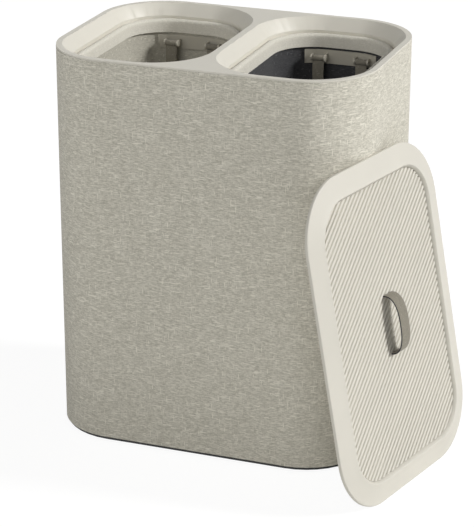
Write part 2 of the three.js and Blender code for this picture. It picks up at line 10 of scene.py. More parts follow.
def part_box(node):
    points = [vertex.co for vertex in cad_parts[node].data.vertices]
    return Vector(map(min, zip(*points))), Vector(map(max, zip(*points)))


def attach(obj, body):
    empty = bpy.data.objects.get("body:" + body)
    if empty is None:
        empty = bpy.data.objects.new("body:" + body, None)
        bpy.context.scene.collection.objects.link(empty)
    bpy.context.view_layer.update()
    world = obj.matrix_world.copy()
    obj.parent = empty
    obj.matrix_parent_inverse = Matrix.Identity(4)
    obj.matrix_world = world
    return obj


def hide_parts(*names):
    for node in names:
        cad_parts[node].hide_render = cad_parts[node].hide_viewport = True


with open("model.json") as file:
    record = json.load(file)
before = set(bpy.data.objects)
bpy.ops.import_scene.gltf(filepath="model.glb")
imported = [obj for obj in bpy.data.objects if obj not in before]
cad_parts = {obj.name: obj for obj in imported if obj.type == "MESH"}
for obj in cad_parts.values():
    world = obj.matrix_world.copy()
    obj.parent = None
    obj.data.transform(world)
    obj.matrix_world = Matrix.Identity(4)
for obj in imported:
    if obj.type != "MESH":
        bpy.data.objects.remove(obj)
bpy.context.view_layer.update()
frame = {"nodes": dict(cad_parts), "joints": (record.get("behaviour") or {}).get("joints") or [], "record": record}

bl_info = {
    "name": "Laundry hamper",
    "version": (1, 0, 0),
    "blender": (4, 5, 0),
    "location": "View3D > Sidebar > Hamper",
    "description": "Builds a fabric-covered laundry hamper with two bins, its bags and its ribbed lid",
    "category": "Object",
}

MM = 0.001
# Measures closer than this count as equal
TINY = 1e-6
# A face is level, or nearly so, when its normal's upright part is larger than these
LEVEL = 0.9
NEARLY_LEVEL = 0.8
# How far a cutting shape reaches past what it cuts
CLEAR = 20 * MM
# How far from the middle of an outline a face's centre may lie to count as the face that fills it
MIDDLE = 2 * MM
# Steps in the pieces' height, along the strap's arch, round a handle's bend and round its eyes
COVER_RINGS = 36
BAG_RINGS = 40
STRAP_STEPS = 40
BEND_STEPS = 24
EYE_SIDES = 28
# Side of the hamper, its sign along X, and the bag that hangs there
BAGS = (("left", -1, "light_bag"), ("right", 1, "dark_bag"))


def metres(name, description, default):
    """A length property"""
    return bpy.props.FloatProperty(name=name, description=description, default=default, unit="LENGTH")


def degrees(name, description, default):
    """An angle property, whose default is given in degrees"""
    return bpy.props.FloatProperty(
        name=name, description=description, default=math.radians(default), subtype="ANGLE",
    )


def number(name, description, default):
    """A property without a unit"""
    return bpy.props.FloatProperty(name=name, description=description, default=default)


def direction(name, description, default):
    """A property that points from the hamper towards something"""
    return bpy.props.FloatVectorProperty(
        name=name, description=description, default=default, subtype="DIRECTION",
    )


def colour(name, description, default):
    """A colour property, as sRGB hex"""
    return bpy.props.StringProperty(name=name, description=description, default=default)


def tray_size(axis):
    """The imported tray's extent along one axis"""
    low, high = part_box("top_tray")
    return high[axis] - low[axis]


class HamperSizes(bpy.types.PropertyGroup):
    """Sizes of the hamper's pieces"""

    width: metres("Width", "Hamper's long side at the rim", tray_size(0))
    depth: metres("Depth", "Hamper's short side at the rim", tray_size(1))
    height: metres("Height", "Top of the rim above the floor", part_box("top_tray")[1].z)
    corner: metres("Corner radius", "Radius of the hamper's upright corners", 0.104)
    taper: metres("Taper", "How far each side draws in at the floor", 0.002)
    cover: metres("Cover thickness", "Thickness of the fabric cover", 0.0009)
    cover_ripple: metres("Cover ripple", "How far the stretched cover bulges in and out", 0.00025)
    cover_ripple_size: metres("Ripple size", "Distance from bulge to bulge on the cover", 0.09)
    rim: metres("Rim width", "Flat rim from the cover to an opening", 0.009)
    bridge: metres("Bridge width", "Flat strip between the two openings", 0.011)
    opening_corner: metres("Opening radius", "Corner radius of an opening", 0.095)
    flange: metres("Flange thickness", "Thickness of the tray's flat rim", 0.0025)
    funnel_inset: metres("Funnel inset", "How far a funnel draws in at its lip", 0.017)
    funnel_drop: metres("Funnel drop", "Height of a funnel's sloped wall", 0.0176)
    collar: metres("Collar", "Height of the upright wall below a funnel", 0.026)
    ledge: metres("Ledge inset", "Inner edge of the ledge that carries a bag", 0.022)
    ledge_wall: metres("Ledge thickness", "Thickness of the ledge that carries a bag", 0.003)
    wall: metres("Moulding wall", "Wall thickness of the tray's moulding", 0.002)
    edge_round: metres("Edge rounding", "Radius of the moulding's edges", 0.001)
    bag_inset: metres("Bag inset", "Outside of a bag's hem from the opening's edge", 0.0185)
    hem_fold: metres("Hem fold", "Width of the hem that wraps a hoop", 0.0087)
    hem_depth: metres("Hem depth", "Height of the hem inside a bag", 0.020)
    cloth: metres("Bag cloth", "Thickness of the bag's cloth", 0.001)
    bag_taper: metres("Bag taper", "How far a bag draws in at its foot", 0.008)
    bag_straight: metres("Bag top", "Height of a bag's straight wall below its top edge", 0.060)
    bag_round: metres("Bag round", "Radius between a bag's wall and its floor", 0.010)
    bag_sag: metres("Bag sag", "Depth of the soft folds in a bag's wall", 0.0022)
    bag_sag_size: metres("Sag size", "Distance from fold to fold in a bag's wall", 0.045)
    lid_corner: metres("Lid radius", "Corner radius of the lid", 0.096)
    lid_rim: metres("Lid rim", "Width of the lid's sloping frame", 0.033)
    lid_slope: metres("Lid slope", "How far the frame falls towards its outer edge", 0.0075)
    lid_edge: metres("Lid edge", "Rounding of the lid's outer edge", 0.002)
    lid_crest: metres("Lid crest", "Width of the rounded crest between frame and recess", 0.0012)
    lid_recess: metres("Lid recess", "Depth of the ribbed panel below the frame", 0.0045)
    lid_recess_run: metres("Recess run", "Width of the slope round the ribbed panel", 0.004)
    lid_wall: metres("Lid wall", "Wall thickness of the lid's frame", 0.002)
    lid_foot: metres("Lid foot", "Width of the frame's foot under the ribbed panel", 0.005)
    rib_pitch: metres("Rib pitch", "Distance from rib to rib", 0.00805)
    rib_height: metres("Rib height", "Height of a rib above its groove", 0.0026)
    rib_angle: degrees("Rib angle", "Slope of the ribs from the lid's short side", 38)
    rib_gap: metres("Rib gap", "Gap between the ribbed panel and the frame", 0.0003)
    rib_plate: metres("Rib plate", "Thickness of the plate under the ribs", 0.002)
    strap_span: metres("Strap span", "Length of the lid's strap between its slots", 0.091)
    strap_rise: metres("Strap rise", "Height of the lid's strap over the panel", 0.0235)
    strap_width: metres("Strap width", "Width of the lid's strap", 0.024)
    strap_thickness: metres("Strap thickness", "Thickness of the lid's strap", 0.002)
    strap_tail: metres("Strap tail", "Length of the strap's ends inside the panel", 0.0045)
    loop_width: metres("Loop width", "Width of a bag handle's webbing", 0.018)
    loop_thickness: metres("Loop thickness", "Thickness of a bag handle's webbing", 0.0022)
    eye_radius: metres("Eye radius", "Outside of the webbing's turn round a pin", 0.0047)
    eye_wall: metres("Eye wall", "Thickness of the webbing's turn round a pin", 0.0019)
    webbing_round: metres("Webbing rounding", "Rounding of the edges of all webbing", 0.0004)


class HamperColours(bpy.types.PropertyGroup):
    """Colours of the hamper's finishes, as sRGB hex"""

    linen: colour("Linen", "Pale fibres in the cover's yarn", "#E3DFD2")
    linen_shade: colour("Linen shade", "Dark fibres in the cover's yarn", "#AFAB9D")
    linen_slub: colour("Linen slub", "Pale thick stretches of the cover's yarn", "#E6E2D5")
    cream: colour("Cream", "Moulded tray", "#DAD6CA")
    # The lid's cream is the tray's cream made a little darker: painted shade on the lid
    shaded_lid_cream: colour("Lid cream", "Moulded lid", "#D1CDC2")
    black: colour("Black", "Moulded base", "#161616")
    rubber: colour("Rubber", "Feet", "#1B1B1B")
    board: colour("Board", "Wall panel and bag boards", "#8A867C")
    fittings: colour("Fittings", "Hoops and handle brackets", "#B5B0A2")
    light_bag: colour("Light bag", "Cloth of the light bag, on the left", "#C4C0B3")
    light_bag_shade: colour("Light bag shade", "Dark fibres of the light bag", "#A7A396")
    light_bag_slub: colour("Light bag slub", "Thick stretches of the light bag's yarn", "#D3CFC3")
    dark_bag: colour("Dark bag", "Cloth of the dark bag, on the right", "#4B4B4C")
    dark_bag_shade: colour("Dark bag shade", "Dark fibres of the dark bag", "#38383A")
    dark_bag_slub: colour("Dark bag slub", "Thick stretches of the dark bag's yarn", "#5E5E60")
    hem: colour("Hem", "Binding round both bags' hems", "#DEDACE")
    hem_shade: colour("Hem shade", "Dark fibres of the binding", "#CFCBBE")
    hem_slub: colour("Hem slub", "Thick stretches of the binding's yarn", "#E2DED2")
    webbing: colour("Webbing", "Straps of the lid and the bags", "#8F8A7D")
    webbing_shade: colour("Webbing shade", "Dark fibres of the webbing", "#7E796D")
    webbing_slub: colour("Webbing slub", "Pale fibres of the webbing", "#9C978B")
    # Colour of the dark strip drawn along both edges of the lid's strap
    webbing_edge: colour("Webbing edge", "Bound edges of the lid's strap", "#3A3A3E")


class HamperStage(bpy.types.PropertyGroup):
    """Camera, lights and floor"""

    azimuth: degrees("Azimuth", "Camera's angle round the hamper", 20)
    elevation: degrees("Elevation", "Camera's angle above level", 20.64)
    roll: degrees("Roll", "Camera's turn about its line of sight", 0.25)
    distance: metres("Distance", "From the camera to its target", 3.5273)
    target: bpy.props.FloatVectorProperty(
        name="Target", description="Point that the camera is aimed at", default=(-0.0045, 0.0467, 0.2571),
        subtype="XYZ", unit="LENGTH",
    )
    lens: number("Lens", "Focal length in millimetres", 152.04)
    shift: bpy.props.FloatVectorProperty(
        name="Shift", description="Lens shift across and up", default=(-0.0096, -0.0272), size=2,
    )
    key_strength: number("Key", "Strength of the key light", 2.85)
    key_angle: degrees("Key softness", "Apparent size of the key light", 14)
    key_from: direction("Key from", "Direction that the key light comes from", (0.85, 0.14, 0.51))
    fill_strength: number("Fill", "Strength of the front light", 1.12)
    fill_angle: degrees("Fill softness", "Apparent size of the front light", 60)
    fill_from: direction("Fill from", "Direction that the front light comes from", (-0.25, -0.88, 0.40))
    ambient: number("Ambient", "Strength of the light all round", 0.1)
    floor_size: metres("Floor size", "Side of the square floor", 30)
    floor_gap: metres("Floor gap", "How far the floor lies below the feet", 0.0005)
    floor_colour: colour("Floor", "Paint of the floor, where shadows fall", "#F2F2F0")
    floor_glow: number("Floor glow", "Brightness of the floor's own light, seen by the camera", 1.12)
    floor_share: number("Glow share", "Share of the glow in what the camera sees of the floor", 0.82)
    far_clip: metres("Far clip", "How far from the camera things are still seen", 50)


def linear(text):
    """An sRGB hex colour as linear RGBA"""
    values = [int(text[at:at + 2], 16) / 255 for at in (1, 3, 5)]
    return (*[v / 12.92 if v <= 0.04045 else ((v + 0.055) / 1.055) ** 2.4 for v in values], 1.0)


def add_node(material, kind, inputs=(), **settings):
    """Adds a shader node with its settings, and its inputs as values or as sockets to link"""
    made = material.node_tree.nodes.new(kind)
    for name, value in settings.items():
        setattr(made, name, value)
    for key, value in dict(inputs).items():
        if isinstance(value, bpy.types.NodeSocket):
            material.node_tree.links.new(value, made.inputs[key])
        else:
            made.inputs[key].default_value = value
    return made


def calculate(material, operation, *values):
    """The result of a math node"""
    return add_node(material, "ShaderNodeMath", enumerate(values), operation=operation).outputs[0]


def remap(material, value, from_low, from_high, to_low=0.0, to_high=1.0):
    """Carries a value from one range to another, and keeps it within that"""
    return add_node(material, "ShaderNodeMapRange", {
        "Value": value, "From Min": from_low, "From Max": from_high, "To Min": to_low, "To Max": to_high,
    }).outputs[0]


def blend(material, factor, first, second):
    """Goes from the first colour to the second as the factor goes from 0 to 1"""
    mixed = add_node(material, "ShaderNodeMix", {"Factor": factor, 6: first, 7: second}, data_type="RGBA")
    return mixed.outputs[2]


def seen_directly(material):
    """1 for a ray that shows things, straight, reflected or through glass, and 0 for any other"""
    path = add_node(material, "ShaderNodeLightPath").outputs
    seen = calculate(material, "MAXIMUM", path["Is Camera Ray"], path["Is Glossy Ray"])
    return calculate(material, "MAXIMUM", seen, path["Is Transmission Ray"])


def new_material(name):
    material = bpy.data.materials.new(name)
    material.use_nodes = True
    material.node_tree.nodes.clear()
    return material


def finish_material(material, colour_socket, roughness, normal, sheen=0.0, specular=0.5):
    """Ends a material in its surface, with the sheen of cloth or the gloss of plastic"""
    shader = add_node(material, "ShaderNodeBsdfPrincipled", {
        "Base Color": colour_socket,
        "Roughness": roughness,
        "Normal": normal,
        "Sheen Weight": sheen,
        "Specular IOR Level": specular,
    })
    add_node(material, "ShaderNodeOutputMaterial", {"Surface": shader.outputs["BSDF"]})
    return material


def woven_cloth(name, colours, key, thread=0.85 * MM, run=4 * MM, slub_length=8 * MM, slub_share=0.04,
                warp_share=0.35, edge_at=None):
    """Plain-woven polyester of heathered yarn: matt, with pale slubs, mostly along the weft.
    Real threads are about 0.5 mm apart, too fine to show, so they are drawn at the thread size given.
    From edge_at outwards, if it is given, the cloth turns to a dark edge colour."""
    material = new_material(name)
    ground, shade, slub = (linear(getattr(colours, key + part)) for part in ("", "_shade", "_slub"))
    place = add_node(material, "ShaderNodeUVMap", uv_map="threads").outputs["UV"]

    def yarns(length, width, upright, seed):
        """A tone from 0 to 1 for each stretch of yarn, of this mean length and width.
        Each seed takes its pattern from another place."""
        scale = (1 / width, 1 / length, 1) if upright else (1 / length, 1 / width, 1)
        stretched = add_node(material, "ShaderNodeMapping", {
            "Vector": place, "Location": (seed * 17.3, seed * 9.1, 0), "Scale": scale,
        })
        cells = add_node(material, "ShaderNodeTexVoronoi", {
            "Vector": stretched.outputs["Vector"], "Scale": 1.0,
        }, voronoi_dimensions="2D")
        tones = add_node(material, "ShaderNodeSeparateColor", {"Color": cells.outputs["Color"]})
        return tones.outputs["Red"]

    weft = yarns(run, thread, False, 1)
    warp = yarns(run, thread, True, 2)
    tone = calculate(material, "MULTIPLY_ADD", warp, warp_share, weft)
    shown = blend(material, remap(material, tone, 0, 1 + warp_share), shade, ground)
    slub_width = 1.3 * thread
    weft_slubs = calculate(
        material, "GREATER_THAN", yarns(slub_length, slub_width, False, 3), 1 - slub_share,
    )
    warp_slubs = calculate(
        material, "GREATER_THAN", yarns(slub_length, thread, True, 4), 1 - slub_share / 3,
    )
    shown = blend(material, calculate(material, "MAXIMUM", weft_slubs, warp_slubs), shown, slub)
    if edge_at:
        blur = 0.2 * MM
        across = add_node(material, "ShaderNodeSeparateXYZ", {"Vector": place}).outputs["X"]
        beyond = remap(material, calculate(material, "ABSOLUTE", across), edge_at, edge_at + blur)
        shown = blend(material, beyond, shown, linear(getattr(colours, key + "_edge")))
    normal = add_node(material, "ShaderNodeBump", {
        "Height": tone, "Strength": 0.1, "Distance": 0.3 * MM,
    }).outputs["Normal"]
    return finish_material(material, shown, roughness=0.9, normal=normal, sheen=0.15, specular=0.2)


def moulded_surface(name, text, roughness=0.48, grain=0.7 * MM, drift=0.09, relief=0.05):
    """A moulded or pressed surface with a fine grain: satin polypropylene, rubber or board.
    Broad soft patches deepen its colour, each by at most their strength's share of the drift."""
    material = new_material(name)
    place = add_node(material, "ShaderNodeTexCoord").outputs["Object"]
    fine = add_node(material, "ShaderNodeTexNoise", {
        "Vector": place, "Scale": 1 / grain, "Detail": 2.0,
    }).outputs["Fac"]
    patches = add_node(material, "ShaderNodeTexNoise", {
        "Vector": place, "Scale": 9.0, "Detail": 3.0,
    }).outputs["Fac"]
    patch_strength = 0.4
    base = linear(text)
    deeper = (*[v * (1 - drift) for v in base[:3]], 1.0)
    shown = blend(material, remap(material, patches, 0.35, 0.65, to_high=patch_strength), base, deeper)
    gloss = remap(material, fine, 0, 1, to_low=roughness - 0.05, to_high=roughness + 0.07)
    normal = add_node(material, "ShaderNodeBump", {
        "Height": fine, "Strength": relief, "Distance": 0.2 * MM,
    }).outputs["Normal"]
    return finish_material(material, shown, gloss, normal)


def leave_edit():
    if bpy.context.mode != "OBJECT":
        bpy.ops.object.mode_set(mode="OBJECT")


def only(piece):
    """Makes one piece the selected and active one"""
    leave_edit()
    bpy.ops.object.select_all(action="DESELECT")
    piece.select_set(True)
    bpy.context.view_layer.objects.active = piece


def select_edges(piece, test):
    """Selects only the edges that pass the test"""
    bpy.ops.mesh.select_mode(type="EDGE")
    bpy.ops.mesh.select_all(action="DESELECT")
    mesh = bmesh.from_edit_mesh(piece.data)
    for edge in mesh.edges:
        edge.select = test(edge)
    bmesh.update_edit_mesh(piece.data)


def select_faces(piece, test):
    """Selects only the faces whose centre and normal pass the test"""
    bpy.ops.mesh.select_mode(type="FACE")
    bpy.ops.mesh.select_all(action="DESELECT")
    mesh = bmesh.from_edit_mesh(piece.data)
    for face in mesh.faces:
        face.select = test(face.calc_center_median(), face.normal)
    bmesh.update_edit_mesh(piece.data)


def drop_selected_faces():
    """Deletes the selected faces but not their edges, and selects all that is left"""
    bpy.ops.mesh.delete(type="ONLY_FACE")
    bpy.ops.mesh.select_all(action="SELECT")


def start_plane(name, width, depth):
    """A level rectangle round the origin, left in edit mode and selected"""
    leave_edit()
    bpy.ops.object.select_all(action="DESELECT")
    bpy.ops.mesh.primitive_plane_add(size=1, enter_editmode=True, location=(0, 0, 0))
    piece = bpy.context.active_object
    piece.name = name
    bpy.ops.mesh.select_all(action="SELECT")
    bpy.ops.transform.resize(value=(width, depth, 1))
    return piece


def start_sheet(name, width, depth, corner, height, centre_x=0.0, segments=32, cuts=0):
    """A level face with round corners, left in edit mode and selected.
    The cuts divide its straight sides, which are far longer than the steps of its corners."""
    piece = start_plane(name, width, depth)
    bpy.ops.mesh.bevel(offset=corner, offset_type="OFFSET", segments=segments, affect="VERTICES")
    if cuts:
        bpy.ops.mesh.select_all(action="SELECT")
        drop_selected_faces()
        longest = max(edge.calc_length() for edge in bmesh.from_edit_mesh(piece.data).edges)
        select_edges(piece, lambda edge: edge.calc_length() > longest / 8)
        bpy.ops.mesh.subdivide(number_cuts=cuts)
        bpy.ops.mesh.select_all(action="SELECT")
        bpy.ops.mesh.edge_face_add()
        bpy.ops.mesh.select_mode(type="FACE")
    bpy.ops.mesh.select_all(action="SELECT")
    bpy.ops.transform.translate(value=(centre_x, 0, height))
    return piece


def extrude_edges(*step):
    bpy.ops.mesh.extrude_edges_move(TRANSFORM_OT_translate={"value": step})


def draw_section(steps):
    """Carries the selected face through a section of inset and rise steps"""
    for inset, rise in steps:
        if abs(inset) < TINY:
            bpy.ops.mesh.extrude_region_move(TRANSFORM_OT_translate={"value": (0, 0, rise)})
        else:
            bpy.ops.mesh.inset(thickness=inset, depth=0, use_even_offset=True)
            if rise:
                bpy.ops.transform.translate(value=(0, 0, rise))


def quarter(radius, rising=True, outer=True, steps=4):
    """Steps of a quarter round, going in. An outer one starts upright, and another starts level"""
    turns = [k * math.pi / 2 / steps for k in range(steps + 1)]
    sign = 1 if rising else -1
    made = []
    for low, high in zip(turns, turns[1:]):
        slow = radius * (math.cos(low) - math.cos(high))
        fast = radius * (math.sin(high) - math.sin(low))
        made.append((slow, sign * fast) if outer else (fast, sign * slow))
    return made


def face_outwards(piece):
    only(piece)
    bpy.ops.object.mode_set(mode="EDIT")
    bpy.ops.mesh.select_all(action="SELECT")
    bpy.ops.mesh.normals_make_consistent(inside=False)
    leave_edit()


def apply_modifier(piece, kind, **settings):
    only(piece)
    modifier = piece.modifiers.new(kind.title(), kind)
    for name, value in settings.items():
        setattr(modifier, name, value)
    bpy.ops.object.modifier_apply(modifier=modifier.name)


def combine(piece, operation, tool):
    """Joins a closed shape to a piece, cuts it away or keeps what both share, and removes the shape"""
    apply_modifier(piece, "BOOLEAN", operation=operation, object=tool, solver="EXACT")
    bpy.data.objects.remove(tool)


def join_into(piece, other):
    """Makes another object part of a piece, as it is"""
    only(other)
    piece.select_set(True)
    bpy.context.view_layer.objects.active = piece
    bpy.ops.object.join()


def smooth(piece, angle):
    """Shades smooth over edges up to this angle in degrees"""
    only(piece)
    bpy.ops.object.shade_smooth_by_angle(angle=math.radians(angle))


def settle(piece, body, material, slot, *nodes):
    """Gives a finished piece its body, finish and the CAD nodes that it stands for"""
    leave_edit()
    piece.data.materials.clear()
    piece.data.materials.append(material)
    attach(piece, body)
    if nodes:
        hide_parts(*nodes)


def lay_threads(piece, width, depth, corner, centre_x=0.0):
    """A UV map in metres, along the rounded outline and up the wall, so that threads follow the cloth.
    It starts at the middle of the front, and its seam is at one end of the rear's straight part."""
    flat_x = width / 2 - corner
    flat_y = depth / 2 - corner
    turn = corner * math.pi / 2

    def around(x, y, rear):
        """Distance along the outline from the middle of the front, less than 0 on the left"""
        if rear:
            return flat_x + 2 * turn + 2 * flat_y + flat_x - x
        side = 1 if x > 0 else -1
        x = abs(x)
        if x <= flat_x + TINY:
            return side * (x if y < 0 else flat_x + 2 * turn + 2 * flat_y)
        if y < -flat_y:
            return side * (flat_x + corner * math.atan2(x - flat_x, -y - flat_y))
        if y <= flat_y:
            return side * (flat_x + turn + y + flat_y)
        return side * (flat_x + turn + 2 * flat_y + corner * math.atan2(y - flat_y, x - flat_x))

    layer = piece.data.uv_layers.new(name="threads")
    for face in piece.data.polygons:
        level = abs(face.normal.z) > NEARLY_LEVEL
        middle = face.center
        rear = middle.y > flat_y and abs(middle.x - centre_x) < flat_x
        for loop in face.loop_indices:
            point = piece.data.vertices[piece.data.loops[loop].vertex_index].co
            if level:
                layer.data[loop].uv = (point.x, point.y)
            else:
                layer.data[loop].uv = (around(point.x - centre_x, point.y, rear), point.z)


def lay_webbing_threads(piece, along):
    """A UV map in metres, with X across the webbing and the axis of this number along it"""
    layer = piece.data.uv_layers.new(name="threads")
    for loop in piece.data.loops:
        point = piece.data.vertices[loop.vertex_index].co
        layer.data[loop.index].uv = (point.x, point[along])


def ripple(piece, depth, size, low, high):
    """Moves a cloth wall in and out between two heights, by a smooth noise that is the same each run.
    Its folds are three times as tall as they are wide, and fade out towards both heights."""
    centre = sum((v.co for v in piece.data.vertices), Vector()) / len(piece.data.vertices)
    for vertex in piece.data.vertices:
        z = vertex.co.z
        if not low < z < high:
            continue
        fade = math.sin(math.pi * (z - low) / (high - low)) ** 0.5
        out = Vector((vertex.co.x - centre.x, vertex.co.y - centre.y, 0)).normalized()
        sample = Vector((vertex.co.x / size, vertex.co.y / size, z / size / 3))
        vertex.co += out * depth * fade * noise.noise(sample)


def opening_size(sizes):
    """Width and depth of an opening, and its distance from the hamper's middle"""
    width = sizes.width / 2 - sizes.rim - sizes.bridge / 2
    return width, sizes.depth - 2 * sizes.rim, sizes.bridge / 2 + width / 2


class HAMPER_OT_cover(bpy.types.Operator):
    """Fabric cover stretched over the wall panel"""

    bl_idname = "hamper.cover"
    bl_label = "Fabric cover"

    def execute(self, context):
        sizes = context.scene.hamper_sizes
        low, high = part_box("fabric_cover")
        width = high.x - low.x - 2 * sizes.taper
        depth = high.y - low.y - 2 * sizes.taper
        piece = start_sheet("linen_cover", width, depth, sizes.corner - sizes.taper, low.z, cuts=11)
        drop_selected_faces()
        rise = (high.z - low.z) / COVER_RINGS
        grow = 2 * sizes.taper / COVER_RINGS
        for ring in range(COVER_RINGS):
            extrude_edges(0, 0, rise)
            wide = width + grow * ring
            deep = depth + grow * ring
            bpy.ops.transform.resize(value=((wide + grow) / wide, (deep + grow) / deep, 1))
        face_outwards(piece)
        ripple(piece, sizes.cover_ripple, sizes.cover_ripple_size, low.z, high.z)
        apply_modifier(piece, "SOLIDIFY", thickness=sizes.cover, offset=-1)
        lay_threads(piece, sizes.width, sizes.depth, sizes.corner)
        smooth(piece, 40)
        linen = woven_cloth("linen_look_weave", context.scene.hamper_colours, "linen")
        settle(piece, "hamper", linen, "stone_linen", "fabric_cover")
        return {"FINISHED"}


class HAMPER_OT_rim_tray(bpy.types.Operator):
    """Cream tray with its rim, bridge and two funnels"""

    bl_idname = "hamper.rim_tray"
    bl_label = "Rim tray"

    def execute(self, context):
        sizes = context.scene.hamper_sizes
        under = sizes.height - sizes.flange
        tray = start_sheet("rim_tray", sizes.width, sizes.depth, sizes.corner, under)
        draw_section([(0, sizes.flange)])
        face_outwards(tray)
        for side in (-1, 1):
            combine(tray, "UNION", self.funnel_outside(sizes, side))
        for side in (-1, 1):
            combine(tray, "DIFFERENCE", self.funnel_inside(sizes, side))
        apply_modifier(
            tray, "BEVEL", width=sizes.edge_round, segments=3, limit_method="ANGLE",
            angle_limit=math.radians(30),
        )
        smooth(tray, 40)
        cream = bpy.data.materials["cream_polypropylene"]
        settle(tray, "hamper", cream, "cream_plastic", "top_tray", "left_funnel", "right_funnel")
        return {"FINISHED"}

    def funnel_outside(self, sizes, side):
        """The solid that a funnel, its collar and its ledge are cut from, started inside the flange"""
        wall = sizes.wall
        wide, deep, centre = opening_size(sizes)
        under = sizes.height - sizes.flange
        lip = sizes.height - sizes.funnel_drop
        ledge_foot = lip - sizes.collar - sizes.ledge_wall
        shell = start_sheet(
            "funnel_outside", wide + 2 * wall, deep + 2 * wall, sizes.opening_corner + wall,
            under + sizes.flange / 2, side * centre,
        )
        draw_section([
            (0, -sizes.flange / 2),
            (sizes.funnel_inset, lip - wall / 2 - under),
            (0, ledge_foot - lip + wall / 2),
        ])
        face_outwards(shell)
        return shell

    def funnel_inside(self, sizes, side):
        """The open space of a funnel, its collar and the hole inside its ledge"""
        wide, deep, centre = opening_size(sizes)
        above = sizes.height + sizes.flange
        hollow = start_sheet("funnel_inside", wide, deep, sizes.opening_corner, above, side * centre)
        draw_section([
            (0, -sizes.flange),
            (sizes.funnel_inset, -sizes.funnel_drop),
            (0, -sizes.collar),
            (sizes.ledge - sizes.funnel_inset, 0),
            (0, -CLEAR),
        ])
        face_outwards(hollow)
        return hollow


class HAMPER_OT_bags(bpy.types.Operator):
    """Two lift-out bags, each sewn into a hem that wraps a hoop"""

    bl_idname = "hamper.bags"
    bl_label = "Bags"

    def execute(self, context):
        sizes = context.scene.hamper_sizes
        colours = context.scene.hamper_colours
        for name, side, bag in BAGS:
            canvas = woven_cloth(
                f"{bag}_canvas", colours, bag, thread=0.8 * MM, run=3 * MM, slub_length=4 * MM,
                slub_share=0.02,
            )
            self.make_walls(sizes, name, side, canvas, f"{bag}_cloth")
        binding = woven_cloth(
            "hem_binding_twill", colours, "hem", thread=0.8 * MM, run=2.5 * MM, slub_length=3 * MM,
            slub_share=0.02,
        )
        for name, side, _ in BAGS:
            self.make_hem(sizes, name, side, binding)
        return {"FINISHED"}

    def make_walls(self, sizes, name, side, cloth, slot):
        wide, deep, centre = opening_size(sizes)
        walls = (f"{name}_bag_front", f"{name}_bag_rear")
        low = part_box(walls[0])[0]
        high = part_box(walls[1])[1]
        inset = (wide - (high.x - low.x)) / 2
        outline = (wide - 2 * inset, deep - 2 * inset, sizes.opening_corner - inset)
        piece = start_sheet(f"{name}_bag_cloth", *outline, high.z, side * centre, 12, cuts=9)
        straight = sizes.bag_straight
        bottom = low.z + sizes.bag_round
        draw_section([(0, -straight / 4)] * 4)
        drop = high.z - straight - bottom
        draw_section([(sizes.bag_taper / BAG_RINGS, -drop / BAG_RINGS)] * BAG_RINGS)
        draw_section(quarter(sizes.bag_round, rising=False, steps=5))
        select_faces(piece, lambda at, normal: abs(at.z - high.z) < TINY and abs(normal.z) > LEVEL)
        drop_selected_faces()
        leave_edit()
        ripple(piece, sizes.bag_sag, sizes.bag_sag_size, bottom, high.z - 1.2 * straight)
        apply_modifier(piece, "SOLIDIFY", thickness=sizes.cloth, offset=-1)
        lay_threads(piece, *outline, side * centre)
        smooth(piece, 50)
        settle(piece, f"{name}_bag_body", cloth, slot, *walls, f"{name}_bag_floor")

    def make_hem(self, sizes, name, side, cloth):
        wide, deep, centre = opening_size(sizes)
        low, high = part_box(f"{name}_bag_hem")
        inset = sizes.bag_inset
        outline = (wide - 2 * inset, deep - 2 * inset, sizes.opening_corner - inset)
        piece = start_sheet(f"{name}_hem_binding", *outline, low.z, side * centre, 20, cuts=6)
        fold = sizes.hem_fold / 2
        draw_section([(0, high.z - fold - low.z)])
        draw_section(quarter(fold))
        draw_section(quarter(fold, rising=False, outer=False))
        draw_section([(0, (fold - sizes.hem_depth) / 3)] * 3)
        select_faces(piece, lambda at, normal: max(abs(at.y), abs(at.x - side * centre)) < MIDDLE)
        drop_selected_faces()
        apply_modifier(piece, "SOLIDIFY", thickness=sizes.cloth, offset=-1)
        lay_threads(piece, *outline, side * centre)
        smooth(piece, 50)
        settle(piece, f"{name}_bag_body", cloth, "hem_binding", f"{name}_bag_hem")


